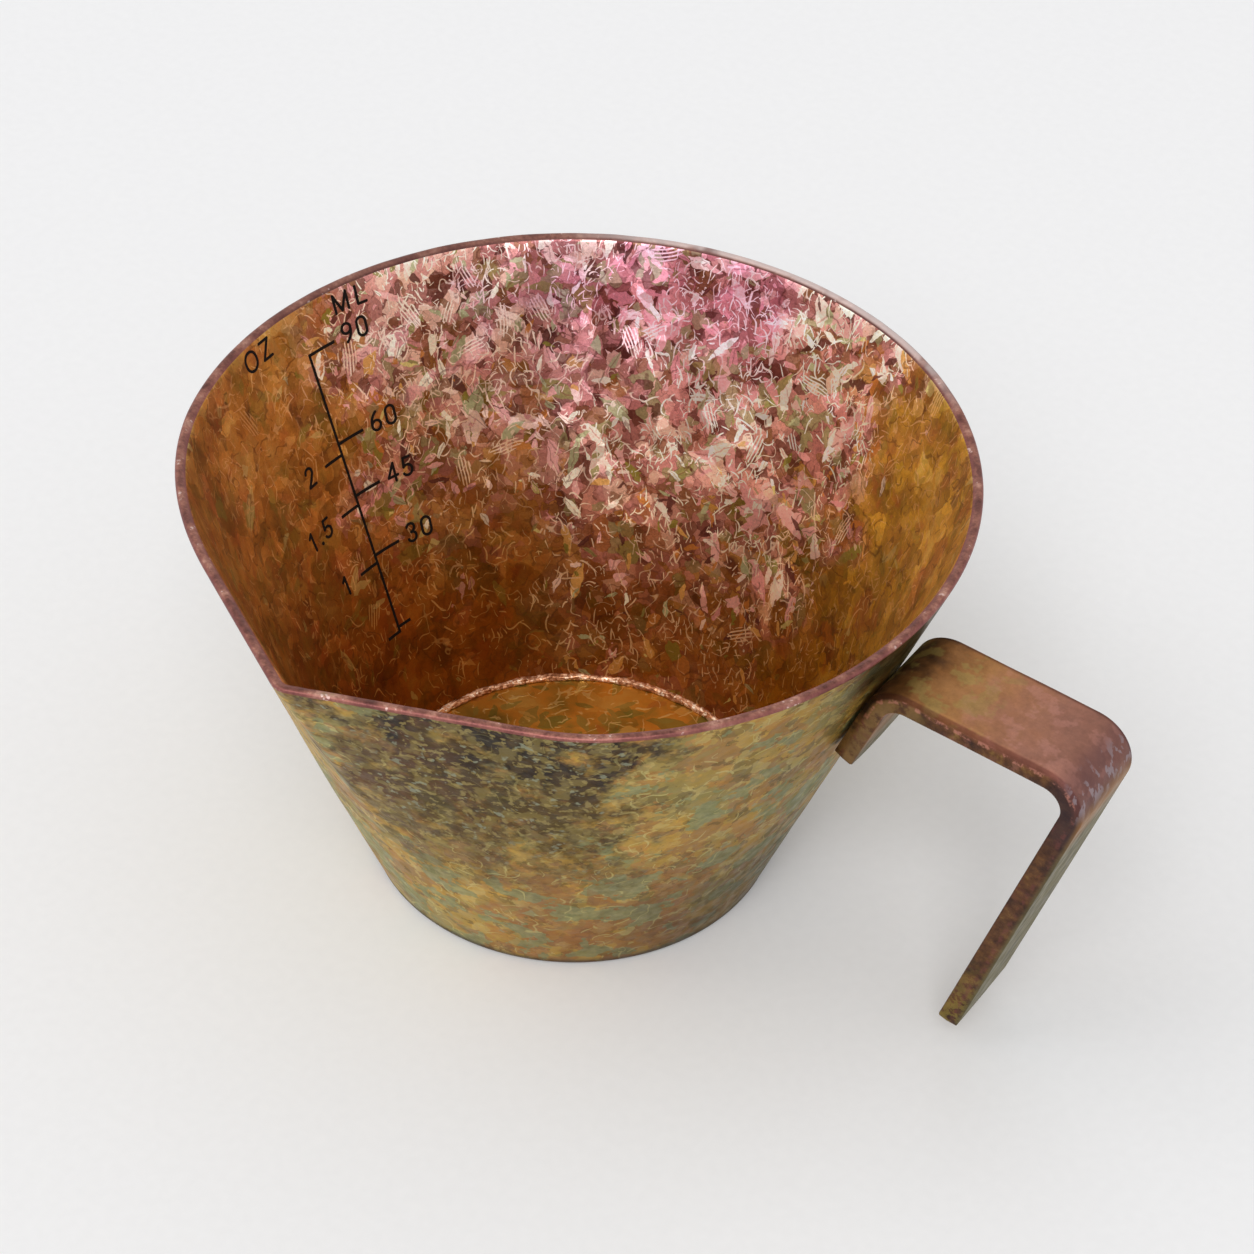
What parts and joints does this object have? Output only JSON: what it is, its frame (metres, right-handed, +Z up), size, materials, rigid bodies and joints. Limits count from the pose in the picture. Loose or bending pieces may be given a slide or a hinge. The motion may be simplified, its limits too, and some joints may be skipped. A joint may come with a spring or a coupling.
{
  "type": "bar jigger",
  "caption": "Flared metal measuring cup with a pouring beak, a flat strap handle bent down beside it and a printed volume scale inside.",
  "frame": {"origin": "centre of the base's underside, on the surface that the cup stands on", "axes": "+Z up along the cup's axis, +X towards the handle; the pouring beak lies near -Y, 94.4 degrees clockwise from the handle seen from above, and the printed scale faces the handle from the -X side"},
  "size_m": [0.0926, 0.0765, 0.045],
  "materials": {
    "wall_copper": "glossy mottled heat patina, copper to pink inside, ochre and olive outside",
    "base_copper": "glossy golden heat patina",
    "strap_copper": "satin brown to mauve heat patina",
    "braze": "bright rough bead",
    "print_black": "thin matt black print"
  },
  "bodies": {
    "root": {"cup_wall": "wall_copper", "base_disc": "base_copper", "base_bead": "braze", "handle": "strap_copper", "spot_welds": "strap_copper", "scale_line": "print_black", "ml_ticks": "print_black", "oz_ticks": "print_black", "ml_figures": "print_black", "oz_figures": "print_black", "unit_letters": "print_black"}
  },
  "joints": []
}
